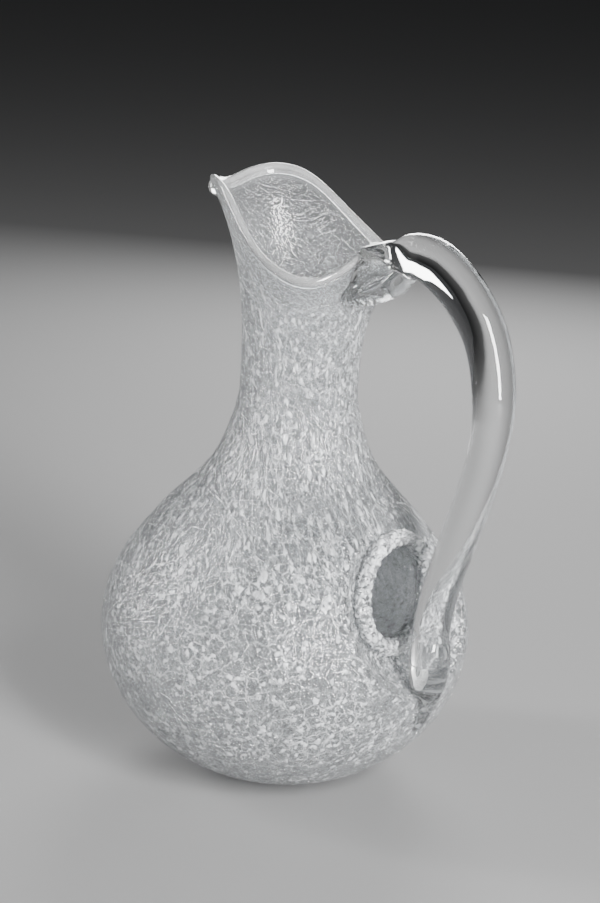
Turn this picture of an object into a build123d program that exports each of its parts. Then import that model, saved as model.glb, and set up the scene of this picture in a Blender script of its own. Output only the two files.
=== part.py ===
from build123d import *
import os
from math import cos, pi, radians, sin

# Hand-blown glass decanter with an ice pocket. Millimetres, +Z up, origin in the middle of the base.
# The handle and the ice pocket are on +X, the pouring spout is on -X, and Y=0 is the plane of symmetry.

# Body of the vessel, as a radius against height
BULB_RADIUS = 85.0
BULB_HEIGHT = 69.0
BOWL_DEPTH = 73.0
FOOT_INNER_RADIUS = 23.0
PUNT_RISE = 7.0
SHOULDER_POINTS = [(79.0, 94.5), (61.5, 119.5), (38.2, 145.5), (28.2, 171.0)]
NECK_RADIUS = 26.6
NECK_TOP = 186.0
WALL = 3.0

# Flared mouth: the rim's plan radius and height are waves round the neck's axis, from the handle side
FLARE_TOP = 290.0
FLARE_SECTIONS = 6
FLARE_POWER = 2.6
SECTION_POINTS = 12
RIM_RADIUS_WAVES = [43.4, -2.4, 2.4, -3.4]
RIM_HEIGHT_WAVES = [256.2, -16.6, 4.9, 6.3, 0.4, 1.2]
LIP_HEIGHT = 5.0
LIP_SWELL = 1.2

# Spout bead: the small rolled drop of glass under the tip of the spout
BEAD_RADIUS = 3.4
BEAD_STRETCH = 1.35
BEAD_DROP = 3.6

# Ice pocket and the ring round its opening, set square to an axis that leans up out of the bulb
POCKET_CENTRE = (61.5, 0.0, 99.5)
POCKET_TILT = 7.0
RING_RADIUS = 24.4
RING_THICKNESS = 4.0
DISH_FLOOR = 3.0
DISH_FLAT_RADIUS = 29.0
DISH_EDGE_RADIUS = 47.0
DISH_RISE = 20.0
POCKET_NECK_RADIUS = 24.0
POCKET_BELLY_RADIUS = 29.0
POCKET_BELLY_DEPTH = 44.0
POCKET_DEPTH = 82.0
POCKET_WALL = 2.6

# Handle, from the lip over the arch to the foot pad: x, z, thickness in the plane Y=0, width across it
HANDLE_STATIONS = [
    (37.5, 250.8, 4.5, 31.0),
    (45.5, 251.6, 8.5, 26.0),
    (52.5, 250.8, 15.5, 21.5),
    (60.5, 251.4, 19.5, 20.5),
    (71.5, 248.9, 21.0, 21.0),
    (86.0, 238.5, 20.4, 20.4),
    (98.5, 221.8, 19.6, 19.6),
    (104.6, 198.0, 18.8, 18.8),
    (103.4, 172.5, 17.2, 17.2),
    (95.6, 142.0, 16.8, 16.8),
    (86.6, 112.5, 16.4, 16.4),
    (82.4, 92.0, 16.4, 16.4),
    (82.0, 76.0, 16.0, 17.0),
]

# Tail of the handle, folded back under the arch on to the neck
CURL_STATIONS = [
    (57.0, 247.0, 8.0, 15.0),
    (50.5, 238.5, 10.5, 20.0),
    (41.0, 232.8, 11.0, 26.0),
    (31.0, 230.2, 13.5, 27.0),
    (23.0, 229.5, 12.0, 22.0),
]

# Foot pad of the handle, as level slices: height, x of the centre, depth, width
PAD_SLICES = [
    (88.0, 82.0, 12.0, 13.0),
    (81.0, 82.0, 17.0, 19.0),
    (70.0, 82.5, 16.5, 21.0),
    (60.0, 82.0, 14.0, 17.0),
    (51.0, 79.5, 10.0, 10.5),
    (44.5, 76.0, 5.0, 4.0),
]


def wave_sum(waves, angle):
    """Value at an angle of a sum of cosine waves with whole-number counts."""
    return sum(height * cos(count * angle) for count, height in enumerate(waves))


def rim_point(angle):
    """Point on the outer edge of the rim."""
    reach = wave_sum(RIM_RADIUS_WAVES, angle)
    return Vector(reach * cos(angle), reach * sin(angle), wave_sum(RIM_HEIGHT_WAVES, angle))


def flare_radius(angle, height):
    """Radius of the flared wall: it leaves the neck smoothly and passes through the rim."""
    rise = (height - NECK_TOP) / (wave_sum(RIM_HEIGHT_WAVES, angle) - NECK_TOP)
    rise = max(rise, 0.0)
    growth = rise**FLARE_POWER if rise < 1.0 else 1.0 + FLARE_POWER * (rise - 1.0)
    return NECK_RADIUS + growth * (wave_sum(RIM_RADIUS_WAVES, angle) - NECK_RADIUS)


def flare_section(height, inset):
    """Level slice of the flared mouth."""
    if height == NECK_TOP:
        return Pos(0, 0, height) * Circle(NECK_RADIUS - inset)
    angles = [2 * pi * step / SECTION_POINTS for step in range(SECTION_POINTS)]
    radii = [flare_radius(angle, height) - inset for angle in angles]
    points = [(r * cos(a), r * sin(a)) for r, a in zip(radii, angles)]
    return Pos(0, 0, height) * make_face(Spline(*points, periodic=True))


def flare(inset):
    """Solid flared mouth, up past the highest point of the rim."""
    step = (FLARE_TOP - NECK_TOP) / (FLARE_SECTIONS - 1)
    sections = [flare_section(NECK_TOP + step * number, inset) for number in range(FLARE_SECTIONS)]
    return loft(sections)


def moved_in(points, inset):
    """Points of a curve moved to its inner side, square to the chord between their neighbours."""
    moved = []
    for before, point, after in zip(points, points[1:], points[2:]):
        chord = Vector(after) - Vector(before)
        inward = Vector(-chord.Y, chord.X).normalized() * inset
        moved.append((point[0] + inward.X, point[1] + inward.Y))
    return moved


def body_outline(inset):
    """Half of the body's outline, in the plane of radius and height, moved in by the inset."""
    bulb = BULB_RADIUS - inset
    depth = BOWL_DEPTH - inset
    neck = NECK_RADIUS - inset
    shares = (0, 0.08, 0.2, 0.4, 0.65, 1)
    heights = [inset + (BULB_HEIGHT - inset) * share for share in shares]
    bowl_points = [(bulb * (1 - ((BULB_HEIGHT - z) / depth) ** 2) ** 0.5, z) for z in heights]
    chain = [(BULB_RADIUS, BULB_HEIGHT), *SHOULDER_POINTS, (NECK_RADIUS, NECK_TOP)]
    shoulder_points = [(bulb, BULB_HEIGHT), *moved_in(chain, inset), (neck, NECK_TOP)]
    punt_top = PUNT_RISE + inset
    punt_side = (FOOT_INNER_RADIUS * 0.55, PUNT_RISE * 0.68 + inset)
    outline = [
        ThreePointArc((0, punt_top), punt_side, (FOOT_INNER_RADIUS, inset)),
        Line((FOOT_INNER_RADIUS, inset), bowl_points[0]),
        Spline(*bowl_points),
        Spline(*shoulder_points, tangents=[(0, 1), (0, 1)]),
        Line((neck, NECK_TOP), (0, NECK_TOP)),
        Line((0, NECK_TOP), (0, punt_top)),
    ]
    return make_face(outline)


def body(inset):
    """Body turned from its outline."""
    return revolve(Plane.XZ * body_outline(inset), axis=Axis.Z)


def pocket_frame():
    """Frame with its origin in the pocket's opening and its Z out along the pocket's axis."""
    lean = radians(POCKET_TILT)
    return Plane(origin=POCKET_CENTRE, x_dir=(0, 1, 0), z_dir=(cos(lean), 0, sin(lean)))


def turned_about_pocket(face):
    """Solid turned about the pocket's axis from a face in radius and distance along that axis."""
    return pocket_frame() * revolve(Plane.XZ * face, axis=Axis.Z)


def dish_tool(grown):
    """Space in front of the dished wall round the pocket, grown by a wall thickness."""
    floor = -DISH_FLOOR - grown
    flat = Line((0, floor), (DISH_FLAT_RADIUS, floor))
    side = Spline(
        (DISH_FLAT_RADIUS, floor), (DISH_EDGE_RADIUS + grown, DISH_RISE), tangents=[(1, 0), (0.5, 1)]
    )
    edge = Line((DISH_EDGE_RADIUS + grown, DISH_RISE), (DISH_EDGE_RADIUS + grown, 2 * DISH_RISE))
    top = Line((DISH_EDGE_RADIUS + grown, 2 * DISH_RISE), (0, 2 * DISH_RISE))
    axis = Line((0, 2 * DISH_RISE), (0, floor))
    return turned_about_pocket(make_face([flat, side, edge, top, axis]))


def pocket_bladder(inset):
    """Closed inner pocket as a solid, made smaller on every side by the inset."""
    mouth = POCKET_NECK_RADIUS - inset
    belly = POCKET_BELLY_RADIUS - inset
    end = POCKET_DEPTH - inset
    curve = radians(45)
    shoulder = (belly * cos(curve), -POCKET_BELLY_DEPTH - (end - POCKET_BELLY_DEPTH) * sin(curve))
    side = Spline(
        (mouth, 0), (belly, -POCKET_BELLY_DEPTH), shoulder, (0, -end), tangents=[(0, -1), (-1, 0)]
    )
    axis = Line((0, -end), (0, 0))
    top = Line((0, 0), (mouth, 0))
    return turned_about_pocket(make_face([side, axis, top]))


def ring():
    """Thick rounded ring at the pocket's opening."""
    return pocket_frame() * Torus(RING_RADIUS, RING_THICKNESS)


def rim_cutter():
    """Everything above the rim, as a saddle raised from the rim's line and run across the mouth."""
    steps = 12
    line = [rim_point(pi * step / steps) for step in range(steps + 1)]
    points = [(point.X, point.Z) for point in line]
    front_x, front_z = points[-1]
    back_x, back_z = points[0]
    reach = 30.0
    head = FLARE_TOP + reach
    notch = back_z - reach / 2
    corners = [
        (front_x, front_z),
        (front_x - reach, front_z),
        (front_x - reach, head),
        (back_x + reach, head),
        (back_x + reach, notch),
        (back_x, notch),
        (back_x, back_z),
    ]
    outline = [Spline(*points), *[Line(start, end) for start, end in zip(corners, corners[1:])]]
    return extrude(Plane.XZ * make_face(outline), amount=2 * BULB_RADIUS, both=True)


def lip(solid_mouth, cutter):
    """Smooth band of glass round the rim, flush with the wall outside and thicker than it inside."""
    band = solid_mouth - flare(WALL + LIP_SWELL) - cutter
    return band & Pos(0, 0, -LIP_HEIGHT) * cutter


def without_shavings(shape):
    """Largest solid of a cut shape, without the thin shavings that the cut leaves."""
    return max(shape.solids(), key=lambda solid: solid.volume)


def spout_bead():
    """Rolled drop hanging outside the tip of the spout."""
    tip = rim_point(pi)
    drop = scale(Sphere(BEAD_RADIUS), by=(1.0, 1.0, BEAD_STRETCH))
    return Pos(tip.X, 0, tip.Z - BEAD_DROP) * drop


def strand(stations):
    """Drawn rod of glass through oval stations along a curve in the plane Y=0."""
    path = Spline(*[(x, 0, z) for x, z, _, _ in stations])
    sections = []
    for x, z, thick, wide in stations:
        along = path.tangent_at(path.param_at_point(Vector(x, 0, z)))
        sections.append(Plane(origin=(x, 0, z), x_dir=(0, 1, 0), z_dir=along) * Ellipse(wide / 2, thick / 2))
    return loft(sections)


def foot_pad():
    """Flattened pad of glass with its drawn tail, under the lower end of the handle."""
    slices = [Pos(x, 0, z) * Ellipse(deep / 2, wide / 2) for z, x, deep, wide in PAD_SLICES]
    return loft(slices)


def main():
    """Build every piece, seat each against its neighbours and write them out."""
    above_rim = rim_cutter()
    solid_mouth = flare(0)
    solid_bulb = body(0) - dish_tool(0)
    solid_pocket = pocket_bladder(0)
    collar = ring()
    lip_wrap = lip(solid_mouth, above_rim)
    bulb = solid_bulb - (body(WALL) - dish_tool(WALL)) - solid_pocket - collar
    mouth = without_shavings(solid_mouth - flare(WALL) - Pos(0, 0, -LIP_HEIGHT) * above_rim)
    pocket = solid_pocket - pocket_bladder(POCKET_WALL) - collar
    pad = foot_pad() - solid_bulb - collar
    rod = without_shavings(strand(HANDLE_STATIONS) - solid_mouth - solid_bulb - pad - collar)
    curl = without_shavings(strand(CURL_STATIONS) - solid_mouth - rod)
    pieces = {
        "vessel_shell": bulb + mouth,
        "lip_wrap": lip_wrap,
        "spout_bead": spout_bead() - solid_mouth,
        "ice_pocket": pocket,
        "pocket_collar": collar,
        "handle_rod": rod,
        "handle_curl": curl,
        "handle_foot_pad": pad,
    }
    os.makedirs("parts", exist_ok=True)
    for name, piece in pieces.items():
        export_step(piece, f"parts/{name}.step")
        print(name, len(piece.solids()), "solid,", round(piece.volume / 1000, 1), "cm3")


main()
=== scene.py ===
"""Looks of a hand-blown crackle-glass decanter with an ice pocket, built round its solids."""

import logging
from collections.abc import Callable
from dataclasses import dataclass, field
from enum import Enum
from math import asin, atan2, cos, exp, hypot, pi, radians, sin

import bmesh
import bpy
from mathutils import Matrix, Vector, kdtree, noise

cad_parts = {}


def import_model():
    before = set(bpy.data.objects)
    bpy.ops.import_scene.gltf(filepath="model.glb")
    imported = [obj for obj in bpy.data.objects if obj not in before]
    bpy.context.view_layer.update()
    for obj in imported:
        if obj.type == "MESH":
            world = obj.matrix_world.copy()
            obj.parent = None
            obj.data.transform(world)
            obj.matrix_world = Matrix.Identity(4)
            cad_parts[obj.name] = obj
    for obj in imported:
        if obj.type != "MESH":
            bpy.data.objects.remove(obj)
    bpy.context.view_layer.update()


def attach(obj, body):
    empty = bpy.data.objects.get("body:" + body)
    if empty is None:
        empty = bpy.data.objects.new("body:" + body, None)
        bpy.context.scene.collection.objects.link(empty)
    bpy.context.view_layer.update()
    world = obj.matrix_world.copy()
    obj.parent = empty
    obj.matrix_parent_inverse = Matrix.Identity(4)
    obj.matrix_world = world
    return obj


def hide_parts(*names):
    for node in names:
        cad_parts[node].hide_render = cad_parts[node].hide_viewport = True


LOG = logging.getLogger("decanter")
MM = 0.001
GLASS_IOR = 1.5
CURVE_STEP = 0.004  # Share of a curve, each way, over which its direction is read
BISECTIONS = 18  # Halvings that find a point of the shoulder by its height
GRAIN_CROWN = 0.45  # Distance from a crack, in grains, where a grain reaches its full height
GRAIN_LEVEL = 0.6  # Height on a grain that stays on the smooth surface
ON_CIRCLE = 1e-6  # Share by which a point may miss a circle that it lies on

Piece = bpy.types.Object
Material = bpy.types.Material
Socket = bpy.types.NodeSocket
Value = float | tuple[float, ...] | Socket
Span = tuple[float, float]
Line = list[tuple[float, float]]

RISE: Span = (0.0, 1.0)
FALL: Span = (1.0, 0.0)


class Side(Enum):
    """Which way a glass wall's face looks."""

    OUTER = 1
    INNER = -1


def deselect_everything() -> None:
    """Leave edit mode and deselect every object."""
    if bpy.context.object and bpy.context.object.mode != "OBJECT":
        bpy.ops.object.mode_set(mode="OBJECT")
    bpy.ops.object.select_all(action="DESELECT")


def make_only_active(piece: Piece) -> None:
    """Select one object alone and make it active.

    Args:
        piece: The object that the next operators act on.
    """
    deselect_everything()
    piece.select_set(True)
    bpy.context.view_layer.objects.active = piece


def newest(name: str) -> Piece:
    """Name the object that the last operator added, and return it."""
    bpy.context.object.name = name
    return bpy.context.object


def finish_mesh(piece: Piece, merge: float = 0.01 * MM) -> None:
    """Merge doubles, turn every face outwards and shade the piece smooth.

    Args:
        piece: The finished piece.
        merge: Distance in metres under which points become one.
    """
    make_only_active(piece)
    bpy.ops.object.mode_set(mode="EDIT")
    bpy.ops.mesh.select_all(action="SELECT")
    bpy.ops.mesh.remove_doubles(threshold=merge)
    bpy.ops.mesh.normals_make_consistent(inside=False)
    bpy.ops.object.mode_set(mode="OBJECT")
    bpy.ops.object.shade_smooth()
    deselect_everything()


def apply_modifier(piece: Piece, kind: str, **settings: float | str) -> None:
    """Add a modifier to the active piece and apply it.

    Args:
        piece: The piece.
        kind: Type of the modifier.
        settings: Properties of the modifier.
    """
    modifier = piece.modifiers.new(kind.lower(), kind)
    for key, value in settings.items():
        setattr(modifier, key, value)
    bpy.ops.object.modifier_apply(modifier=modifier.name)


def smooth_step(low: float, high: float, value: float) -> float:
    """Smooth rise from 0 at low to 1 at high.

    Args:
        low: Value where the rise starts.
        high: Value where it ends.
        value: Place on the rise.

    Returns:
        A share from 0 to 1.
    """
    share = min(max((value - low) / (high - low), 0.0), 1.0)
    return share * share * (3 - 2 * share)


def through(points: list[tuple[float, ...]], share: float) -> tuple[float, ...]:
    """Point on a smooth curve through the given points.

    Args:
        points: Points that the curve passes through, evenly spread from share 0 to 1.
        share: Place along the curve from 0 to 1.

    Returns:
        The interpolated point, with as many values as the given ones.
    """
    spans = len(points) - 1
    place = min(max(share, 0.0), 1.0) * spans
    start = min(int(place), spans - 1)
    t = place - start
    near = [points[max(min(start + offset, spans), 0)] for offset in (-1, 0, 1, 2)]
    if start == 0:
        near[0] = tuple(2 * a - b for a, b in zip(near[1], near[2]))
    if start == spans - 1:
        near[3] = tuple(2 * b - a for a, b in zip(near[1], near[2]))
    return tuple(
        0.5
        * (
            2 * b
            + (c - a) * t
            + (2 * a - 5 * b + 4 * c - d) * t * t
            + (3 * b - a - 3 * c + d) * t * t * t
        )
        for a, b, c, d in zip(*near)
    )


def heading(curve: Callable[[float], tuple[float, ...]], share: float) -> Span:
    """Direction of a curve, in its first two values.

    Args:
        curve: Gives the curve's point at a share of its length.
        share: Place along the curve.

    Returns:
        Change of the two values over a short step along the curve.
    """
    ahead, behind = curve(share + CURVE_STEP), curve(share - CURVE_STEP)
    return ahead[0] - behind[0], ahead[1] - behind[1]


class Shader:
    """Short way to join the nodes of one material."""

    def __init__(self, name: str) -> None:
        """Make a material with its one surface shader.

        Args:
            name: Name of the material.
        """
        self.material = bpy.data.materials.new(name)
        self.material.use_nodes = True
        self.tree = self.material.node_tree
        self.surface = self.tree.nodes["Principled BSDF"]

    def feed(self, socket: Socket, value: Value) -> None:
        """Join an output socket to an input socket, or set that to a constant.

        Args:
            socket: The input socket.
            value: Constant or output socket.
        """
        if isinstance(value, Socket):
            self.tree.links.new(value, socket)
        else:
            socket.default_value = value

    def node(self, kind: str, inputs: dict[str | int, Value], **settings: str) -> bpy.types.Node:
        """Add a node.

        Args:
            kind: Type of the node, without its prefix.
            inputs: Constants or output sockets, by name or number of the input.
            settings: Properties of the node.

        Returns:
            The node.
        """
        made = self.tree.nodes.new("ShaderNode" + kind)
        for key, value in settings.items():
            setattr(made, key, value)
        for key, value in inputs.items():
            self.feed(made.inputs[key], value)
        return made

    def attribute(self, name: str, output: str) -> Socket:
        """Read one of the piece's own attributes."""
        return self.node("Attribute", {}, attribute_name=name).outputs[output]

    def blotches(self, place: Socket, scale: float, detail: float) -> bpy.types.Node:
        """Add soft noise with a number of blotches to a metre and a level of detail."""
        return self.node("TexNoise", {"Vector": place, "Scale": scale, "Detail": detail})

    def cells(self, place: Socket, scale: float, feature: str = "F1") -> bpy.types.Node:
        """Add cells, a number of them to a metre, read by their middles or by their edges."""
        return self.node("TexVoronoi", {"Vector": place, "Scale": scale}, feature=feature)

    def ramp(self, value: Socket, start: Span, end: Span) -> Socket:
        """Map a value from one range to another.

        Args:
            value: Output socket to map.
            start: Ends of the range it comes from.
            end: Ends of the range it goes to.

        Returns:
            The output socket.
        """
        ends = {"From Min": start[0], "From Max": start[1], "To Min": end[0], "To Max": end[1]}
        return self.node("MapRange", {"Value": value, **ends}).outputs["Result"]

    def math(self, operation: str, *values: Value) -> Socket:
        """Join constants or output sockets with a math node."""
        return self.node("Math", dict(enumerate(values)), operation=operation).outputs["Value"]

    def set_surface(self, **inputs: Value) -> None:
        """Set inputs of the surface shader, with underscores for spaces in their names."""
        for key, value in inputs.items():
            self.feed(self.surface.inputs[key.replace("_", " ")], value)


@dataclass(frozen=True)
class ClearGlass:
    """Fire-polished clear glass with slow waves on its surface.

    Attributes:
        name: Name of the material.
        waviness: Height in metres of the waves.
        milk: Share of white in the glass.
        roughness: Least roughness of the surface.
        tint: Colour of the glass.
        waves, streaks: Waves and milky streaks to a metre.
        wave_strength, dulling: Strength of the waves' bump, and roughness that they add.
        streak_milk: Share of the milk in the whitest and in the clearest streaks.
        middle: Part of the noise's range that counts.
    """

    name: str
    waviness: float = 0.3 * MM
    milk: float = 0.0
    roughness: float = 0.0
    tint: tuple[float, ...] = (0.97, 0.975, 0.975, 1)
    waves: float = 55.0
    wave_strength: float = 0.5
    dulling: float = 0.04
    streaks: float = 260.0
    streak_milk: Span = (1.3, 0.7)
    middle: Span = (0.3, 0.7)

    def build(self) -> Material:
        """Make the material.

        Returns:
            The finished material.
        """
        shader = Shader(self.name)
        place = shader.node("TexCoord", {}).outputs["Object"]
        wave = shader.blotches(place, self.waves, detail=1.5).outputs["Fac"]
        streak = shader.blotches(place, self.streaks, detail=2.0).outputs["Fac"]
        bump = shader.node(
            "Bump", {"Height": wave, "Distance": self.waviness, "Strength": self.wave_strength}
        )
        roughness = (self.roughness, self.roughness + self.dulling)
        clarity = (1 - self.streak_milk[0] * self.milk, 1 - self.streak_milk[1] * self.milk)
        shader.set_surface(
            Base_Color=self.tint,
            IOR=GLASS_IOR,
            Roughness=shader.ramp(wave, self.middle, roughness),
            Transmission_Weight=shader.ramp(streak, self.middle, clarity),
            Normal=bump.outputs["Normal"],
        )
        return shader.material


@dataclass(frozen=True)
class CrackleGlass:
    """Glass full of fine healed cracks. It reads a piece's own attributes "grain" and "dense".

    Attributes:
        name: Name of the material.
        grain: Grains to a metre, across them.
        relief: Height in metres of the grains' bump.
        frost: Share of white in the whitest grains.
        cover: Share of the grains that are white.
        tint, shine: Colour of the glass, and strength of its reflections.
        roughness: Roughness where the glass is clear and where it is white.
        clearest: Share of the light that goes through where it is clear.
        ripple, crumb, thread, patch: Scales of the ripple that bends the cracks, the crumbs, the
            web of threads and the patches rich and poor in cracks, against the grains' scale.
        ripple_size: Distance in metres that the ripple bends the cracks.
        patch_range: Part of the patches' noise that counts.
        patch_amount: Share of the cracks in the poorest and in the richest patches.
        crack_edge, thread_edge: Distances in cells over which a crack's and a thread's white ends.
        fleck_edge, crumb_edge: Softness of the step from clear grains and crumbs to white ones.
        crack_white, crumb_white: Whiteness of a crack and of a crumb.
        grain_slope, crumb_height, crack_height: Fall of a grain's bump from its middle outwards,
            and what a crumb and a crack add to it.
        least_relief: Share of the bump that is left where there is no crackle.
    """

    name: str
    grain: float = 520.0
    relief: float = 0.45 * MM
    frost: float = 0.55
    cover: float = 0.18
    tint: tuple[float, ...] = (0.88, 0.9, 0.915, 1)
    shine: float = 0.9
    roughness: Span = (0.04, 0.18)
    clearest: float = 0.97
    ripple: float = 0.8
    ripple_size: float = 3.0 * MM
    crumb: float = 2.1
    thread: float = 0.3
    patch: float = 0.1
    patch_range: Span = (0.35, 0.65)
    patch_amount: Span = (0.55, 1.0)
    crack_edge: Span = (0.01, 0.075)
    thread_edge: Span = (0.0, 0.045)
    fleck_edge: float = 0.12
    crumb_edge: Span = (0.1, 0.2)
    crack_white: float = 0.7
    crumb_white: float = 0.85
    grain_slope: float = -1.1
    crumb_height: float = 0.45
    crack_height: float = -0.5
    least_relief: float = 0.05

    def build(self) -> Material:
        """Make the material.

        Returns:
            The finished material.
        """
        shader = Shader(self.name)
        along = shader.attribute("grain", "Vector")
        dense = shader.attribute("dense", "Fac")
        ripple = shader.blotches(along, self.grain * self.ripple, detail=2.0).outputs["Color"]
        ripples = {0: ripple, 1: (self.ripple_size,) * 3, 2: along}
        bent = shader.node("VectorMath", ripples, operation="MULTIPLY_ADD").outputs["Vector"]
        grains = shader.cells(bent, self.grain)
        crumbs = shader.cells(bent, self.grain * self.crumb)
        cracks = shader.cells(bent, self.grain, "DISTANCE_TO_EDGE")
        web = shader.cells(bent, self.grain * self.thread, "DISTANCE_TO_EDGE")
        patches = shader.blotches(along, self.grain * self.patch, detail=3.0)
        grain_tone = shader.node("SeparateColor", {"Color": grains.outputs["Color"]}).outputs
        crumb_tone = shader.node("SeparateColor", {"Color": crumbs.outputs["Color"]}).outputs

        crack = shader.ramp(cracks.outputs["Distance"], self.crack_edge, FALL)
        thread = shader.ramp(web.outputs["Distance"], self.thread_edge, FALL)
        least = 1 - self.cover
        fleck = shader.ramp(grain_tone["Red"], (least, least + self.fleck_edge), RISE)
        start, end = self.crumb_edge
        speck = shader.ramp(crumb_tone["Red"], (least + start, least + end), RISE)
        white = shader.math("MAXIMUM", fleck, shader.math("MULTIPLY", speck, self.crumb_white))
        white = shader.math("MAXIMUM", shader.math("MULTIPLY", crack, self.crack_white), white)
        uneven = shader.ramp(patches.outputs["Fac"], self.patch_range, self.patch_amount)
        amount = shader.math("MULTIPLY", uneven, dense)
        white = shader.math("MULTIPLY", shader.math("MAXIMUM", white, thread), amount)

        reach = grains.outputs["Distance"]
        height = shader.math("MULTIPLY_ADD", reach, self.grain_slope, grain_tone["Green"])
        height = shader.math("MULTIPLY_ADD", crumb_tone["Green"], self.crumb_height, height)
        height = shader.math("MULTIPLY_ADD", crack, self.crack_height, height)
        depth = shader.ramp(dense, RISE, (self.least_relief, 1.0))
        height = shader.math("MULTIPLY", height, depth)
        bump = shader.node("Bump", {"Height": height, "Distance": self.relief, "Strength": 1.0})
        shader.set_surface(
            Base_Color=self.tint,
            IOR=GLASS_IOR,
            Specular_IOR_Level=self.shine,
            Roughness=shader.ramp(white, RISE, self.roughness),
            Transmission_Weight=shader.ramp(white, RISE, (self.clearest, 1 - self.frost)),
            Normal=bump.outputs["Normal"],
        )
        return shader.material


@dataclass(frozen=True)
class PlainPaint:
    """Matt paint of the floor.

    Attributes:
        name: Name of the material.
        shade: Grey of the floor, from 0 to 1.
        roughness: Roughness of the paint.
    """

    name: str
    shade: float
    roughness: float = 0.8

    def build(self) -> Material:
        """Make the material.

        Returns:
            The finished material.
        """
        shader = Shader(self.name)
        shader.set_surface(Base_Color=(*(self.shade,) * 3, 1), Roughness=self.roughness)
        return shader.material


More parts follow.
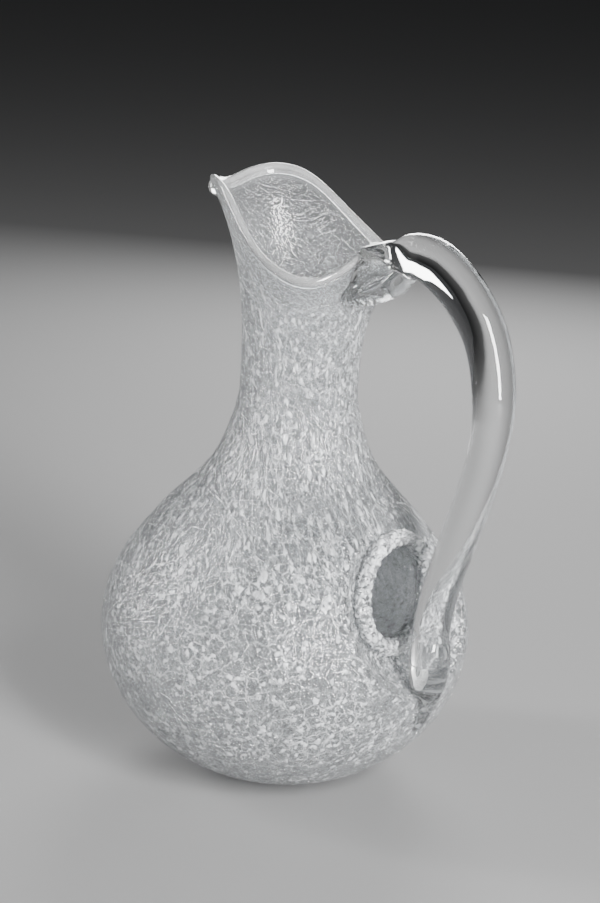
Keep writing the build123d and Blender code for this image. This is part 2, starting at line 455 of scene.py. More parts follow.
@dataclass
class Shape:
    """Sizes that the pieces share, in metres. Angles go round the neck's axis from the handle.

    Attributes:
        bulb_radius, bulb_height: Radius and height of the bulb's widest line.
        bowl_depth: Height of the half oval under that line, which the foot cuts off.
        foot_inner_radius, punt_rise: Radius and height of the punt inside the foot.
        neck_radius, neck_top: Radius and height of the neck's top, where the mouth begins.
        wall: Thickness of the wall.
        flare_power: How late the mouth flares.
        rim_radius_waves, rim_height_waves: Sizes of the cosine waves that add up to the rim's
            plan radius and to its height.
        spout_pull, spout_droop: Distances that the spout's tip is drawn in and lowered.
        spout_lean: Height that the rim gains on one side of the tip and loses on the other.
        spout_spread: How far round the rim these three reach.
        shoulder: Radius and height of points on the outer shoulder.
        pocket_centre: Middle of the ice pocket's opening.
        pocket_tilt: Angle by which the pocket's axis looks up.
        dish_floor, dish_flat_radius: Depth and radius of the dish's flat middle.
        dish_rise, dish_edge_radius: Height and radius of the dish's edge.
        dish_power: How hollow the dish's slope is.
    """

    bulb_radius: float = 85.0 * MM
    bulb_height: float = 69.0 * MM
    bowl_depth: float = 73.0 * MM
    foot_inner_radius: float = 23.0 * MM
    punt_rise: float = 7.0 * MM
    neck_radius: float = 26.6 * MM
    neck_top: float = 186.0 * MM
    wall: float = 3.0 * MM
    flare_power: float = 2.6
    rim_radius_waves: tuple[float, ...] = (43.4 * MM, -2.4 * MM, 2.4 * MM, -3.4 * MM)
    rim_height_waves: tuple[float, ...] = (
        256.2 * MM,
        -16.6 * MM,
        4.9 * MM,
        6.3 * MM,
        0.4 * MM,
        1.2 * MM,
    )
    spout_pull: float = 4.2 * MM
    spout_droop: float = 1.2 * MM
    spout_lean: float = 8.0 * MM
    spout_spread: float = 0.07
    shoulder: tuple[Span, ...] = (
        (79.0 * MM, 94.5 * MM),
        (61.5 * MM, 119.5 * MM),
        (38.2 * MM, 145.5 * MM),
        (28.2 * MM, 171.0 * MM),
    )
    pocket_centre: Vector = field(default_factory=lambda: Vector((61.5, 0, 99.5)) * MM)
    pocket_tilt: float = radians(7)
    dish_floor: float = 3.0 * MM
    dish_flat_radius: float = 29.0 * MM
    dish_edge_radius: float = 47.0 * MM
    dish_rise: float = 20.0 * MM
    dish_power: float = 1.8

    def spout_share(self, angle: float) -> float:
        """Share from 0 to 1 that tells how near an angle is to the tip of the spout."""
        return exp(-(1 + cos(angle)) / self.spout_spread)

    def rim_radius(self, angle: float) -> float:
        """Plan radius of the rim at an angle."""
        waves = sum(size * cos(count * angle) for count, size in enumerate(self.rim_radius_waves))
        return waves - self.spout_pull * self.spout_share(angle)

    def rim_height(self, angle: float) -> float:
        """Height of the rim at an angle."""
        waves = sum(size * cos(count * angle) for count, size in enumerate(self.rim_height_waves))
        return waves + self.spout_share(angle) * (self.spout_lean * sin(angle) - self.spout_droop)

    def spout_tip(self) -> Vector:
        """Outermost point of the spout's rim."""
        return Vector((-self.rim_radius(pi), 0, self.rim_height(pi)))

    def mouth_point(self, angle: float, share: float, inset: float) -> Vector:
        """Point on the flared mouth's wall.

        Args:
            angle: Angle from the handle.
            share: Share of the way up from the neck to the rim.
            inset: Distance in from the outer face, square to it.

        Returns:
            The point.
        """
        rise = self.rim_height(angle) - self.neck_top
        spread = self.rim_radius(angle) - self.neck_radius
        up = max(share, 0.0)
        slope = self.flare_power * up ** (self.flare_power - 1) * spread
        outward = Vector((rise, -slope)).normalized()
        reach = self.neck_radius + up**self.flare_power * spread - inset * outward.x
        height = self.neck_top + share * rise - inset * outward.y
        return Vector((reach * cos(angle), reach * sin(angle), height))

    def shoulder_point(self, share: float) -> tuple[float, ...]:
        """Point on the outer shoulder.

        Args:
            share: Share of the way from the bulb's widest line up to the neck's top.

        Returns:
            Radius and height of the point.
        """
        first, last = self.shoulder[0], self.shoulder[-1]
        chain = [
            (first[0], 2 * self.bulb_height - first[1]),
            (self.bulb_radius, self.bulb_height),
            *self.shoulder,
            (self.neck_radius, self.neck_top),
            (last[0], 2 * self.neck_top - last[1]),
        ]
        spans = len(chain) - 1
        return through(chain, (1 + (spans - 2) * share) / spans)

    def wall_radius(self, angle: float, height: float) -> float:
        """Outer radius of the vessel.

        Args:
            angle: Angle from the handle.
            height: Height over the table.

        Returns:
            The radius there.
        """
        if height < self.bulb_height:
            drop = (self.bulb_height - height) / self.bowl_depth
            return self.bulb_radius * max(1 - drop * drop, 0.0) ** 0.5
        if height > self.neck_top:
            rise = (height - self.neck_top) / (self.rim_height(angle) - self.neck_top)
            spread = self.rim_radius(angle) - self.neck_radius
            return self.neck_radius + rise**self.flare_power * spread
        low, high = 0.0, 1.0
        for _ in range(BISECTIONS):
            middle = (low + high) / 2
            if self.shoulder_point(middle)[1] < height:
                low = middle
            else:
                high = middle
        return self.shoulder_point(low)[0]

    def dish_height(self, reach: float) -> float:
        """Height of the dished wall along the pocket's axis.

        Args:
            reach: Distance from that axis.

        Returns:
            The height over the pocket's opening.
        """
        width = self.dish_edge_radius - self.dish_flat_radius
        slope = max(reach - self.dish_flat_radius, 0.0) / width
        return -self.dish_floor + (self.dish_rise + self.dish_floor) * slope**self.dish_power

    def pocket_frame(self) -> Matrix:
        """Frame of the ice pocket's opening.

        Returns:
            The frame, with its origin in the opening and its Z out along the pocket's axis.
        """
        out = Vector((cos(self.pocket_tilt), 0, sin(self.pocket_tilt)))
        across = Vector((0, 1, 0))
        turn = Matrix((across, out.cross(across), out)).transposed().to_4x4()
        return Matrix.Translation(self.pocket_centre) @ turn


def chain_of_points(name: str, points: Line) -> Piece:
    """Draw a chain of edges in the plane Y=0, one extruded point after another.

    Args:
        name: Name of the piece.
        points: Radius and height of each point.

    Returns:
        The object, in edit mode with its last point selected.
    """
    deselect_everything()
    first = Vector((points[0][0], 0, points[0][1]))
    bpy.ops.mesh.primitive_plane_add(size=MM, location=first)
    piece = newest(name)
    bpy.ops.object.transform_apply(location=True, rotation=True, scale=True)
    bpy.ops.object.mode_set(mode="EDIT")
    bpy.ops.mesh.select_all(action="SELECT")
    bpy.ops.mesh.merge(type="CENTER")
    for (r0, z0), (r1, z1) in zip(points, points[1:]):
        step = (r1 - r0, 0, z1 - z0)
        bpy.ops.mesh.extrude_region_move(TRANSFORM_OT_translate={"value": step})
    return piece


def turned(name: str, points: Line, around: int) -> Piece:
    """Turn a chain of points about the Z axis into a closed skin.

    Args:
        name: Name of the piece.
        points: Radius and height of each point of the chain.
        around: Number of faces round the axis.

    Returns:
        The turned object, in object mode.
    """
    piece = chain_of_points(name, points)
    bpy.ops.mesh.select_all(action="SELECT")
    bpy.ops.mesh.spin(steps=around, angle=2 * pi, center=(0, 0, 0), axis=(0, 0, 1))
    finish_mesh(piece)
    return piece


def straight_rod(name: str, steps: int, around: int) -> Piece:
    """Draw a straight round rod of unit radius up to unit height, ready to be bent to a line.

    Args:
        name: Name of the piece.
        steps: Number of rows of faces along it.
        around: Number of faces round it.

    Returns:
        The object, in object mode, closed at both ends.
    """
    deselect_everything()
    bpy.ops.mesh.primitive_circle_add(vertices=around, radius=1, fill_type="NGON")
    piece = newest(name)
    bpy.ops.object.mode_set(mode="EDIT")
    bpy.ops.mesh.select_all(action="SELECT")
    for _ in range(steps):
        bpy.ops.mesh.extrude_region_move(TRANSFORM_OT_translate={"value": (0, 0, 1 / steps)})
    bpy.ops.object.mode_set(mode="OBJECT")
    return piece


def plain_torus(name: str, radii: Span, faces: tuple[int, int]) -> Piece:
    """Add a ring about the Z axis, ready to be shaped.

    Args:
        name: Name of the piece.
        radii: Radius of its middle line and of its section.
        faces: Number of faces round each of them, at most 256.

    Returns:
        The ring.
    """
    deselect_everything()
    bpy.ops.mesh.primitive_torus_add(
        major_radius=radii[0],
        minor_radius=radii[1],
        major_segments=faces[0],
        minor_segments=faces[1],
    )
    return newest(name)


def grain_height(place: Vector, grains: float) -> float:
    """Height of a grain of crackled glass.

    Args:
        place: Place in the grains' own space.
        grains: Grains to a metre there.

    Returns:
        A share from 0 in the cracks to 1 on the crown.
    """
    distances, _ = noise.voronoi(place * grains)
    return smooth_step(0.0, GRAIN_CROWN, distances[1] - distances[0])


def raise_grains(
    piece: Piece,
    relief: float,
    grains: float,
    grain_of: Callable[[Vector], Vector],
    shares: list[float],
) -> None:
    """Raise the grains of crackled glass on a piece, along its own normals.

    Args:
        piece: The piece.
        relief: Height of the grains.
        grains: Grains to a metre.
        grain_of: Gives a point's place in the grains' own space.
        shares: Share of the relief that each point gets.
    """
    mesh = piece.data
    mesh.update()
    moves = []
    for vertex, share in zip(mesh.vertices, shares):
        height = grain_height(grain_of(vertex.co), grains) - GRAIN_LEVEL if share > 0 else 0.0
        moves.append(vertex.normal * (height * relief * share))
    for vertex, move in zip(mesh.vertices, moves):
        vertex.co += move
    mesh.update()


def dress_in_crackle(
    piece: Piece, glass: Material, grain: list[Vector], dense: list[float]
) -> None:
    """Give a piece its crackled glass and the two attributes that the glass reads.

    Args:
        piece: The finished piece.
        glass: Its material.
        grain: Place of each point in the grains' own space.
        dense: Share of the full crackle at each point.
    """
    numbers = [number for place in grain for number in place]
    places = piece.data.attributes.new("grain", "FLOAT_VECTOR", "POINT")
    places.data.foreach_set("vector", numbers)
    amounts = piece.data.attributes.new("dense", "FLOAT", "POINT")
    amounts.data.foreach_set("value", dense)
    piece.data.materials.append(glass)


@dataclass(frozen=True)
class EvenGrains:
    """Grains that cover the ring or the bladder of the ice pocket evenly.

    Attributes:
        relief: Height of the raised grains.
        grains: Raised grains to a metre.
        fineness: How much finer the grains of the material are, against its usual ones.
        density: Share of the full crackle that the material shows.
    """

    relief: float
    grains: float
    fineness: float
    density: float

    def finish(self, piece: Piece, frame: Matrix, glass: Material) -> Piece:
        """Raise the grains, put the piece in its place and dress it.

        Args:
            piece: The piece, drawn about the Z axis.
            frame: Where it goes.
            glass: Its material.

        Returns:
            The finished piece.
        """
        shares = [1.0] * len(piece.data.vertices)
        raise_grains(piece, self.relief, self.grains, lambda place: place, shares)
        piece.data.transform(frame)
        finish_mesh(piece)
        grain = [vertex.co * self.fineness for vertex in piece.data.vertices]
        dress_in_crackle(piece, glass, grain, [self.density] * len(grain))
        return piece


@dataclass(frozen=True)
class DrawnGrains:
    """Grains of the blown wall: round on the bulb, drawn out long, fine and slanted on the neck.

    Attributes:
        neck, foot: Heights between which the grains get finer upwards and downwards.
        neck_fineness, foot_fineness: How much finer they get there.
        slant_span: Heights between which the slant sets in.
        slant, slant_back: Run of a crack along X for its height, and share of that along -Y.
        stretch, stretch_start: Share by which the grains are drawn out, and from what height.
    """

    neck: Span = (85.0 * MM, 165.0 * MM)
    neck_fineness: float = 0.55
    foot: Span = (45.0 * MM, 5.0 * MM)
    foot_fineness: float = 0.2
    slant_span: Span = (60.0 * MM, 150.0 * MM)
    slant: float = 0.12
    slant_back: float = 0.4
    stretch: float = 0.3
    stretch_start: float = 95.0 * MM

    def place_of(self, place: Vector) -> Vector:
        """Place of a point in the grains' own space.

        Args:
            place: The point.

        Returns:
            Its place in the space where all grains are round and alike.
        """
        rise = smooth_step(*self.neck, place.z)
        low = smooth_step(*self.foot, place.z)
        fine = 1 + self.neck_fineness * rise + self.foot_fineness * low
        slant = self.slant * smooth_step(*self.slant_span, place.z)
        x, y = place.x + slant * place.z, place.y - slant * place.z * self.slant_back
        tall = place.z - self.stretch * max(place.z - self.stretch_start, 0.0) * rise
        return Vector((x * fine, y * fine, tall))


@dataclass
class Vessel:
    """The blown body: bulb, shoulder, neck and flared mouth, with crackled walls.

    Attributes:
        shape: Sizes shared by the pieces.
        pitch, inner_pitch: Distance between rows of faces on the outer and the inner face.
        around, punt_rows: Faces round the axis, and rows of them on the punt.
        punt_power: Roundness of the punt.
        shoulder_length, mouth_length: Lengths of the shoulder's and the mouth's line.
        mouth_span: Height given to the mouth while it is still a straight tube.
        mouth_end: Share of the mouth's height where the wall ends, inside the lip.
        relief, grains: Height of the grains on the outer face, and grains to a metre.
        drawn: How the grains lie.
        relief_fade, crackle_fade: Shares of the mouth's height between which the raised grains
            and the crackle fade.
        lip_calm, lip_clear: Shares of them that are gone at the lip.
        inner_crackle: Share of the crackle that the inner face shows.
        dish_blend: Width of the soft edge between the bulb and the dish.
        dish_reach: Distance from the pocket's axis past which the wall isn't dished.
        far_wall: Height along the pocket's axis under which the wall is the far side's.
        hole_radius: Radius of the hole that the ice pocket fills.
    """

    shape: Shape
    pitch: float = 2.1 * MM
    inner_pitch: float = 4.6 * MM
    around: int = 360
    punt_rows: int = 8
    punt_power: float = 1.07
    shoulder_length: float = 134.0 * MM
    mouth_length: float = 90.0 * MM
    mouth_span: float = 84.0 * MM
    mouth_end: float = 0.965
    relief: float = 0.34 * MM
    relief_fade: Span = (0.55, 0.88)
    lip_calm: float = 0.999
    grains: float = 330.0
    drawn: DrawnGrains = DrawnGrains()
    inner_crackle: float = 0.4
    crackle_fade: Span = (0.6, 0.88)
    lip_clear: float = 0.85
    dish_blend: float = 3.5 * MM
    dish_reach: float = 62.0 * MM
    far_wall: float = -30.0 * MM
    hole_radius: float = 23.2 * MM

    def wall_line(self, side: Side) -> Line:
        """Line of one face of the wall, from the axis at the base to the straight mouth's end.

        Args:
            side: Which face of the wall.

        Returns:
            Radius and height of each point.
        """
        shape = self.shape
        inset = 0.0 if side is Side.OUTER else shape.wall
        pitch = self.pitch if side is Side.OUTER else self.inner_pitch
        line = []
        for step in range(self.punt_rows):
            share = step / self.punt_rows
            rise = shape.punt_rise * (1 - share**2) ** self.punt_power
            line.append((shape.foot_inner_radius * share, inset + rise))
        line.append((shape.foot_inner_radius, inset))
        bulb, depth = shape.bulb_radius - inset, shape.bowl_depth - inset
        start = -asin((shape.bulb_height - inset) / depth)
        steps = int(-start * (bulb + depth) / 2 / pitch)
        for step in range(steps):
            angle = start * (1 - step / steps)
            line.append((bulb * cos(angle), shape.bulb_height + depth * sin(angle)))
        steps = int(self.shoulder_length / pitch)
        for step in range(steps + 1):
            share = step / steps
            here = shape.shoulder_point(share)
            along = Vector(heading(shape.shoulder_point, share)).normalized()
            line.append((here[0] - along.y * inset, here[1] + along.x * inset))
        steps = int(self.mouth_length / pitch)
        for step in range(1, steps + 1):
            height = shape.neck_top + self.mouth_span * step / steps
            line.append((shape.neck_radius - inset, height))
        return line

    def dense_at(self, place: Vector, normal: Vector) -> float:
        """Share of the full crackle at a point, less in the mouth and on the inner face.

        Args:
            place: The point.
            normal: Its normal.

        Returns:
            A share from 0 to 1.
        """
        top = self.shape.rim_height(atan2(place.y, place.x))
        share = (place.z - self.shape.neck_top) / (top - self.shape.neck_top)
        inner = place.x * normal.x + place.y * normal.y < 0
        full = self.inner_crackle if inner else 1.0
        return full * (1 - self.lip_clear * smooth_step(*self.crackle_fade, share))

    def shape_mouth(
        self, piece: Piece, line: Line, outer_points: int
    ) -> tuple[list[Side], list[float]]:
        """Open the straight mouth into its flare, and tell the two faces of the wall apart.

        Args:
            piece: The turned piece.
            line: Points that it was turned from.
            outer_points: How many of them, from the first, are on the outer face.

        Returns:
            The side that each point of the piece is on, and its share of the relief.
        """
        shape = self.shape
        tree = kdtree.KDTree(len(line))
        for number, (reach, height) in enumerate(line):
            tree.insert((reach, 0, height), number)
        tree.balance()
        sides, shares = [], []
        for vertex in piece.data.vertices:
            reach, height = hypot(vertex.co.x, vertex.co.y), vertex.co.z
            outer = tree.find((reach, 0, height))[1] < outer_points
            share = 0.0
            if height > shape.neck_top:
                share = (height - shape.neck_top) / self.mouth_span * self.mouth_end
                angle = atan2(vertex.co.y, vertex.co.x)
                vertex.co = shape.mouth_point(angle, share, 0.0 if outer else shape.wall)
            sides.append(Side.OUTER if outer else Side.INNER)
            full = 1.0 - self.lip_calm * smooth_step(*self.relief_fade, share)
            shares.append(full if outer else 0.0)
        return sides, shares

    def shape_dish(self, piece: Piece, sides: list[Side]) -> None:
        """Press the dish round the pocket's opening into both faces of the wall.

        Args:
            piece: The piece.
            sides: The side that each of its points is on.
        """
        shape = self.shape
        frame = shape.pocket_frame()
        back = frame.inverted()
        blend = self.dish_blend
        for vertex, side in zip(piece.data.vertices, sides):
            local = back @ vertex.co
            reach = hypot(local.x, local.y)
            if local.z < self.far_wall or reach > self.dish_reach:
                continue
            limit = shape.dish_height(reach) - (0.0 if side is Side.OUTER else shape.wall)
            near = min(max(0.5 + 0.5 * (limit - local.z) / blend, 0.0), 1.0)
            local.z = limit * (1 - near) + local.z * near - blend * near * (1 - near)
            vertex.co = frame @ local

    def cut_hole(self, piece: Piece) -> None:
        """Open the wall where the ice pocket passes through it, and close the cut's edge.

        Args:
            piece: The piece.
        """
        frame = self.shape.pocket_frame()
        back = frame.inverted()
        make_only_active(piece)
        bpy.ops.object.mode_set(mode="EDIT")
        bpy.ops.mesh.select_all(action="DESELECT")
        mesh = bmesh.from_edit_mesh(piece.data)
        for vertex in mesh.verts:
            local = back @ vertex.co
            if local.z > self.far_wall and hypot(local.x, local.y) < self.hole_radius:
                vertex.select_set(True)
        mesh.select_flush_mode()
        bmesh.update_edit_mesh(piece.data)
        bpy.ops.mesh.delete(type="VERT")
        bpy.ops.mesh.select_all(action="DESELECT")
        mesh = bmesh.from_edit_mesh(piece.data)
        for edge in mesh.edges:
            if not edge.is_boundary:
                continue
            edge.select_set(True)
            for vertex in edge.verts:
                local = back @ vertex.co
                trim = self.hole_radius / hypot(local.x, local.y)
                if abs(trim - 1) > ON_CIRCLE:
                    local.x *= trim
                    local.y *= trim
                    vertex.co = frame @ local
        bmesh.update_edit_mesh(piece.data)
        bpy.ops.mesh.bridge_edge_loops()
        bpy.ops.object.mode_set(mode="OBJECT")

    def build(self, glass: Material) -> Piece:
        """Make the vessel.

        Args:
            glass: Its material.

        Returns:
            The finished piece.
        """
        outer, inner = self.wall_line(Side.OUTER), self.wall_line(Side.INNER)
        line = outer + inner[::-1]
        piece = turned("vessel", line, self.around)
        sides, shares = self.shape_mouth(piece, line, len(outer))
        self.shape_dish(piece, sides)
        raise_grains(piece, self.relief, self.grains, self.drawn.place_of, shares)
        self.cut_hole(piece)
        finish_mesh(piece)
        grain = [self.drawn.place_of(vertex.co) for vertex in piece.data.vertices]
        dense = [self.dense_at(vertex.co, vertex.normal) for vertex in piece.data.vertices]
        dress_in_crackle(piece, glass, grain, dense)
        return piece


@dataclass
class LipBand:
    """The smooth band of glass round the rim.

    Attributes:
        shape: Sizes shared by the pieces.
        height, thickness: Height of the band along the wall, and its thickness.
        faces: Faces round the rim and round the band's section.
        ring_radius: Radius of the plain ring that is laid along the rim, in section radii.
        unevenness, wander: How much and how fast the section's size wanders round the rim.
        spout_growth: Share by which the band is higher at the spout.
        hold: Share of the band's height that the wall holds.
    """

    shape: Shape
    height: float = 5.6 * MM
    thickness: float = 3.8 * MM
    faces: tuple[int, int] = (256, 24)
    ring_radius: float = 10.0
    unevenness: float = 0.07
    wander: float = 2.2
    spout_growth: float = 0.12
    hold: float = 0.86

    def build(self, glass: Material) -> Piece:
        """Make the band from a torus laid along the rim.

        Args:
            glass: Its material.

        Returns:
            The finished piece.
        """
        piece = plain_torus("lip_band", (self.ring_radius, 1.0), self.faces)
        for vertex in piece.data.vertices:
            angle = atan2(vertex.co.y, vertex.co.x)
            across, along = hypot(vertex.co.x, vertex.co.y) - self.ring_radius, vertex.co.z
            round_rim = Vector((cos(angle), sin(angle), 0)) * self.wander
            uneven = 1 + self.unevenness * noise.noise(round_rim)
            rise = self.shape.rim_height(angle) - self.shape.neck_top
            tall = self.height * uneven * (1 + self.spout_growth * cos(angle - pi))
            share = 1 - (tall / 2) * (1 - along) / rise * self.hold
            depth = self.thickness / 2 * (1 - across * uneven)
            vertex.co = self.shape.mouth_point(angle, share, depth)
        finish_mesh(piece)
        piece.data.materials.append(glass)
        return piece


@dataclass
class SpoutBead:
    """The small rolled drop under the tip of the spout.

    Attributes:
        shape: Sizes shared by the pieces.
        radius: Radius of the plain ball that it is shaped from.
        swell, breadth, stretch: Its size along X, Y and Z against the ball's.
        taper: Share by which it is narrower at its top and wider at its foot.
        curl: Distance that its top and foot bend towards the neck.
        reach, side, drop: Distance of its middle from the tip outwards, sideways and down.
        faces: Faces round the drop and from its top to its foot.
    """

    shape: Shape
    radius: float = 3.7 * MM
    stretch: float = 1.25
    swell: float = 1.3
    breadth: float = 1.05
    taper: float = 0.06
    curl: float = 0.7 * MM
    drop: float = 4.1 * MM
    reach: float = 2.6 * MM
    side: float = 4.0 * MM
    faces: tuple[int, int] = (48, 32)

    def build(self, glass: Material) -> Piece:
        """Make the drop.

        Args:
            glass: Its material.

        Returns:
            The finished piece.
        """
        deselect_everything()
        around, rows = self.faces
        bpy.ops.mesh.primitive_uv_sphere_add(radius=self.radius, segments=around, ring_count=rows)
        piece = newest("spout_drop")
        tip = self.shape.spout_tip()
        for vertex in piece.data.vertices:
            share = vertex.co.z / self.radius
            lean = 1 - self.taper * share
            bend = self.curl * share * share
            vertex.co.x = vertex.co.x * lean * self.swell + tip.x - self.reach + bend
            vertex.co.y = vertex.co.y * lean * self.breadth - self.side
            vertex.co.z = vertex.co.z * self.stretch + tip.z - self.drop
        finish_mesh(piece)
        piece.data.materials.append(glass)
        return piece


@dataclass
class PocketCollar:
    """The thick granular ring round the ice pocket's opening.

    Attributes:
        shape: Sizes shared by the pieces.
        radii: Radius of the ring's middle line and of its section.
        faces: Faces round each of them.
        crackle: Its grains.
    """

    shape: Shape
    radii: Span = (24.4 * MM, 3.8 * MM)
    faces: tuple[int, int] = (240, 48)
    crackle: EvenGrains = EvenGrains(0.8 * MM, grains=300.0, fineness=1.15, density=1.0)

    def build(self, glass: Material) -> Piece:
        """Make the ring from the given glass."""
        piece = plain_torus("pocket_ring", self.radii, self.faces)
        return self.crackle.finish(piece, self.shape.pocket_frame(), glass)


@dataclass
class IcePocket:
    """The closed inner bladder that holds ice, open through the side of the bulb.

    Attributes:
        shape: Sizes shared by the pieces.
        neck_radius: Radius at the opening.
        belly_radius, belly_depth: Largest radius, and its depth behind the opening.
        depth, wall: Depth of the far end, and thickness of the wall.
        rows: Rows of faces on the outer and on the inner face, from the belly each way.
        around: Faces round the axis.
        crackle: Its grains.
    """

    shape: Shape
    neck_radius: float = 24.0 * MM
    belly_radius: float = 29.0 * MM
    belly_depth: float = 44.0 * MM
    depth: float = 82.0 * MM
    wall: float = 2.6 * MM
    rows: tuple[int, int] = (32, 20)
    around: int = 180
    crackle: EvenGrains = EvenGrains(0.3 * MM, grains=300.0, fineness=1.1, density=0.45)

    def wall_line(self, inset: float, rows: int) -> Line:
        """Line of one face of the wall, from the far end on the axis out to the opening.

        Args:
            inset: Distance in from the outer face.
            rows: Rows of faces from the belly each way.

        Returns:
            Radius and height of each point.
        """
        belly = self.belly_radius - inset
        length = self.depth - inset - self.belly_depth
        line = []
        for step in range(rows):
            angle = -pi / 2 + pi / 2 * step / rows
            line.append((belly * cos(angle), -self.belly_depth + length * sin(angle)))
        for step in range(rows + 1):
            share = step / rows
            narrowing = (self.neck_radius - self.belly_radius) * smooth_step(0, 1, share)
            line.append((belly + narrowing, -self.belly_depth * (1 - share)))
        return line

    def build(self, glass: Material) -> Piece:
        """Make the bladder.

        Args:
            glass: Its material.

        Returns:
            The finished piece.
        """
        outer, inner = self.rows
        line = self.wall_line(0.0, outer) + self.wall_line(self.wall, inner)[::-1]
        piece = turned("ice_bladder", line, self.around)
        return self.crackle.finish(piece, self.shape.pocket_frame(), glass)


@dataclass(frozen=True)
class Station:
    """One oval station along a strand of glass, in the plane Y=0 and in millimetres.

    Attributes:
        x: Place along X.
        z: Height.
        thick: Thickness in the plane Y=0.
        wide: Width across it.
    """

    x: float
    z: float
    thick: float
    wide: float

    def values(self) -> tuple[float, float, float, float]:
        """The four values in metres."""
        return self.x * MM, self.z * MM, self.thick * MM, self.wide * MM


@dataclass(frozen=True)
class Gather:
    """One drawn strand of glass along a bent line.

    Attributes:
        name: Name of the strand.
        stations: Stations along it, from one end to the other.
        round_start, round_end: Shares of the length over which the two ends are rounded.
        steps, around: Rows of faces along it, and faces round it.
        tip: Share of the section's area that is left at a rounded end.
    """

    name: str
    stations: tuple[Station, ...]
    round_start: float
    round_end: float
    steps: int = 60
    around: int = 48
    tip: float = 0.02

    def thinning(self, share: float) -> float:
        """Thinning of the strand towards its rounded ends.

        Args:
            share: Place along the strand.

        Returns:
            Share of the full thickness there.
        """
        cap = 1.0
        for length, gone in ((self.round_start, share), (self.round_end, 1 - share)):
            if gone < length:
                cap = min(cap, max(1 - (1 - gone / length) ** 2, self.tip) ** 0.5)
        return cap

    def build(self) -> Piece:
        """Bend a straight round rod along the stations.

        Returns:
            The strand.
        """
        piece = straight_rod(self.name, self.steps, self.around)
        points = [station.values() for station in self.stations]
        for vertex in piece.data.vertices:
            share = min(max(vertex.co.z, 0.0), 1.0)
            x, z, thick, wide = through(points, share)
            run, climb = heading(lambda place: through(points, place), share)
            along = Vector((run, 0, climb)).normalized()
            square = Vector((-along.z, 0, along.x))
            cap = self.thinning(share)
            sideways = Vector((0, vertex.co.y * wide / 2 * cap, 0))
            shift = square * (vertex.co.x * thick / 2 * cap) + sideways
            vertex.co = Vector((x, 0, z)) + shift
        finish_mesh(piece)
        return piece


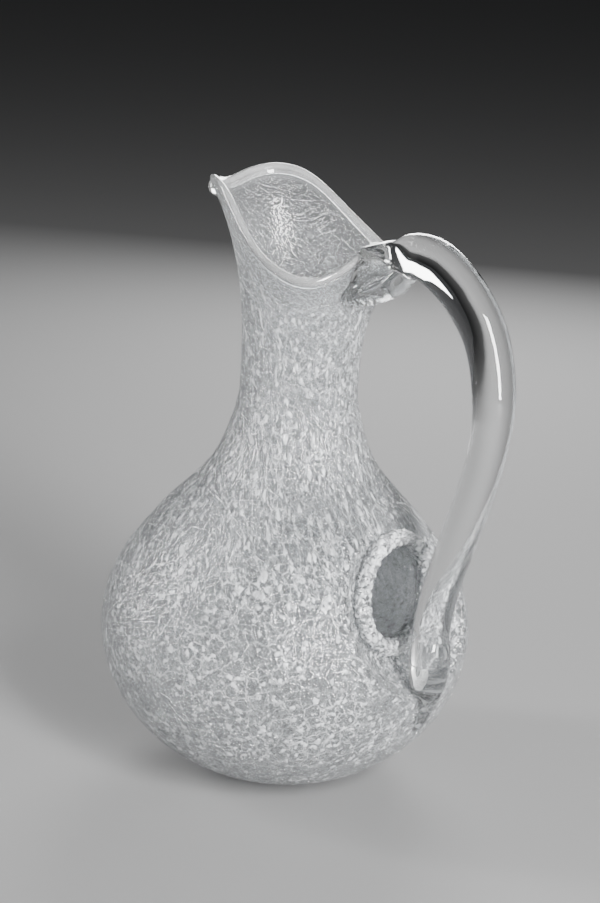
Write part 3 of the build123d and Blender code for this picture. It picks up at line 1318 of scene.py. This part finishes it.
@dataclass
class Handle:
    """The applied handle: strap over the lip, folded curl, arched rod and foot pad, fused in one.

    Attributes:
        shape: Sizes shared by the pieces.
        rod: Strand from the lip over the arch down to the pad.
        curl: Tail folded back under the arch on to the neck.
        fold: Sheet of glass that lies on the neck between the strap and the curl.
        pad: Flattened pad with its drawn tail on the bulb.
        grid, merge: Size of the fused skin's faces, and distance under which its points merge.
        smoothing, melting: Rounds of smoothing that melt the strands together, and strength.
        seat: Depth to which the handle goes into the vessel's wall.
        lip_gap: Height under the rim from which the handle is seated.
        neck_start: Height over which it is seated on the neck alone.
    """

    shape: Shape
    rod: Gather = Gather(
        "rod",
        (
            Station(37.5, 250.8, 4.5, 31.0),
            Station(45.5, 251.6, 8.5, 26.0),
            Station(52.5, 250.8, 15.5, 21.5),
            Station(60.5, 251.4, 19.5, 20.5),
            Station(71.5, 248.9, 21.0, 21.0),
            Station(86.0, 238.5, 20.4, 20.4),
            Station(98.5, 221.8, 19.6, 19.6),
            Station(104.6, 198.0, 18.8, 18.8),
            Station(103.4, 172.5, 17.2, 17.2),
            Station(95.6, 142.0, 16.8, 16.8),
            Station(86.6, 112.5, 16.4, 16.4),
            Station(82.4, 92.0, 16.4, 16.4),
            Station(82.0, 76.0, 16.0, 17.0),
        ),
        round_start=0.012,
        round_end=0.03,
        steps=260,
    )
    curl: Gather = Gather(
        "curl",
        (
            Station(57.0, 247.0, 8.0, 15.0),
            Station(50.5, 238.5, 10.5, 20.0),
            Station(41.0, 232.8, 11.0, 26.0),
            Station(31.0, 230.2, 13.5, 27.0),
            Station(23.0, 229.5, 12.0, 22.0),
        ),
        round_start=0.1,
        round_end=0.1,
    )
    fold: Gather = Gather(
        "fold",
        (
            Station(44.0, 251.2, 4.5, 27.0),
            Station(39.5, 246.5, 4.2, 29.0),
            Station(36.3, 239.5, 4.6, 29.0),
            Station(34.0, 231.5, 7.5, 27.0),
            Station(32.5, 226.5, 5.0, 22.0),
        ),
        round_start=0.06,
        round_end=0.12,
    )
    pad: Gather = Gather(
        "pad",
        (
            Station(82.0, 88.0, 12.0, 13.0),
            Station(82.0, 81.0, 17.0, 19.0),
            Station(82.5, 70.0, 16.5, 21.0),
            Station(82.0, 60.0, 14.0, 17.0),
            Station(80.4, 51.0, 10.0, 12.5),
            Station(79.4, 44.0, 6.0, 9.0),
            Station(76.8, 37.5, 3.6, 5.0),
        ),
        round_start=0.08,
        round_end=0.08,
    )
    grid: float = 0.75 * MM
    smoothing: int = 10
    melting: float = 0.5
    merge: float = 0.001 * MM
    seat: float = 0.8 * MM
    lip_gap: float = 5.0 * MM
    neck_start: float = 140.0 * MM

    def seat_on_vessel(self, piece: Piece) -> None:
        """Push the handle's inner faces out to the neck, the bulb and the dish that it sits on.

        Args:
            piece: The fused handle.
        """
        shape = self.shape
        frame = shape.pocket_frame()
        back = frame.inverted()
        for vertex in piece.data.vertices:
            angle = atan2(vertex.co.y, vertex.co.x)
            if vertex.co.z > shape.rim_height(angle) - self.lip_gap:
                continue
            local = back @ vertex.co
            reach = hypot(vertex.co.x, vertex.co.y)
            least = shape.wall_radius(angle, vertex.co.z) - self.seat
            floor = shape.dish_height(hypot(local.x, local.y)) - self.seat
            if reach >= least or local.z >= floor:
                continue
            if vertex.co.z > self.neck_start or least - reach < floor - local.z:
                vertex.co.x *= least / reach
                vertex.co.y *= least / reach
            else:
                local.z = floor
                vertex.co = frame @ local

    def build(self, glass: Material) -> Piece:
        """Make the handle.

        Args:
            glass: Its material.

        Returns:
            The finished piece.
        """
        strands = [gather.build() for gather in (self.rod, self.curl, self.fold, self.pad)]
        make_only_active(strands[0])
        for strand in strands[1:]:
            strand.select_set(True)
        bpy.ops.object.join()
        piece = newest("handle")
        apply_modifier(piece, "REMESH", mode="VOXEL", voxel_size=self.grid)
        apply_modifier(piece, "SMOOTH", factor=self.melting, iterations=self.smoothing)
        self.seat_on_vessel(piece)
        finish_mesh(piece, self.merge)
        piece.data.materials.append(glass)
        return piece


@dataclass(frozen=True)
class SoftLight:
    """One soft rectangular light.

    Attributes:
        name: Name of the light.
        place: Where it stands.
        size: Its width and height.
        power: Its power in watts.
    """

    name: str
    place: tuple[float, float, float]
    size: Span
    power: float

    def build(self, target: Vector) -> None:
        """Add the light.

        Args:
            target: Point that it faces.
        """
        deselect_everything()
        bpy.ops.object.light_add(type="AREA", location=self.place)
        lamp = newest(self.name)
        lamp.data.shape = "RECTANGLE"
        lamp.data.size, lamp.data.size_y = self.size
        lamp.data.energy = self.power
        lamp.rotation_euler = (target - Vector(self.place)).to_track_quat("-Z", "Y").to_euler()


@dataclass(frozen=True)
class Studio:
    """Plain pale floor, soft lights and the camera.

    Attributes:
        lights, target: The lights, and the point that they face.
        room: Colour of the faint light from all round.
        floor_size, floor_drop: Length of the floor's sides, and its distance under the foot.
        camera_place, camera_back: Place of the camera, and direction from the object back to it.
        azimuth, elevation, roll: Angles of the camera round, down and about its own axis.
        lens, sensor: Focal length, and the picture's longer side, in millimetres.
        nearest: Least distance that the camera sees.
    """

    lights: tuple[SoftLight, ...] = (
        SoftLight("window_right", (1.05, -0.42, 0.5), (0.26, 0.95), 78),
        SoftLight("window_left", (-0.85, -0.5, 0.45), (0.16, 0.8), 18),
        SoftLight("behind", (-0.5, 0.9, 0.55), (0.5, 0.5), 14),
    )
    target: tuple[float, float, float] = (0.0, 0.0, 0.14)
    room: tuple[float, ...] = (0.05, 0.051, 0.053, 1)
    floor_size: float = 14.0
    floor_drop: float = 0.2 * MM
    camera_place: tuple[float, float, float] = (0.619286, -0.789078, 0.438621)
    camera_back: tuple[float, float, float] = (0.591812, -0.757485, 0.275636)
    azimuth: float = radians(38)
    elevation: float = radians(16)
    roll: float = radians(3.4)
    lens: float = 91.69
    sensor: float = 36.0
    nearest: float = 0.01

    def build(self, paint: Material) -> None:
        """Set up the floor, the lights, the room's light and the camera.

        Args:
            paint: The floor's material.
        """
        deselect_everything()
        bpy.ops.mesh.primitive_plane_add(size=self.floor_size, location=(0, 0, -self.floor_drop))
        floor = newest("floor")
        floor.data.materials.append(paint)
        for light in self.lights:
            light.build(Vector(self.target))
        world = bpy.data.worlds.new("room")
        world.use_nodes = True
        world.node_tree.nodes["Background"].inputs["Color"].default_value = self.room
        bpy.context.scene.world = world
        self.place_camera()

    def place_camera(self) -> None:
        """Put the camera where the photo was taken from."""
        a, e, r = self.azimuth, self.elevation, self.roll
        right = Vector((cos(a), sin(a), 0))
        up = Vector((-sin(a) * sin(e), cos(a) * sin(e), cos(e)))
        across = right * cos(r) + up * sin(r)
        upward = up * cos(r) - right * sin(r)
        turn = Matrix((across, upward, self.camera_back)).transposed().to_4x4()
        bpy.ops.object.camera_add()
        camera = bpy.context.object
        camera.matrix_world = Matrix.Translation(self.camera_place) @ turn
        camera.data.lens = self.lens
        camera.data.sensor_width = self.sensor
        camera.data.clip_start = self.nearest
        bpy.context.scene.camera = camera


def main() -> None:
    """Build every piece of the decanter and the studio round it."""
    logging.basicConfig(level=logging.INFO, format="%(name)s: %(message)s")
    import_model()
    shape = Shape()
    crackle = CrackleGlass("crackle_glass").build()
    granular = CrackleGlass("granular_glass", grain=480.0, frost=0.7, cover=0.42).build()
    milky = ClearGlass("milky_glass", milk=0.14, roughness=0.05).build()
    clear = ClearGlass("clear_glass", waviness=0.2 * MM).build()
    handle_nodes = ("handle_rod", "handle_curl", "handle_foot_pad")
    made = [
        (Vessel(shape).build(crackle), "crackle_glass", ("vessel_shell",)),
        (LipBand(shape).build(milky), "clear_glass", ("lip_wrap",)),
        (SpoutBead(shape).build(milky), "clear_glass", ("spout_bead",)),
        (IcePocket(shape).build(crackle), "crackle_glass", ("ice_pocket",)),
        (PocketCollar(shape).build(granular), "crackle_glass", ("pocket_collar",)),
        (Handle(shape).build(clear), "clear_glass", handle_nodes),
    ]
    for piece, slot, nodes in made:
        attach(piece, "root")
        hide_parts(*nodes)
        faces = len(piece.data.polygons)
        LOG.info("%s: %d faces, stands for %s", piece.name, faces, ", ".join(nodes))
    Studio().build(PlainPaint("floor_paint", shade=0.17).build())


if __name__ == "__main__":
    main()
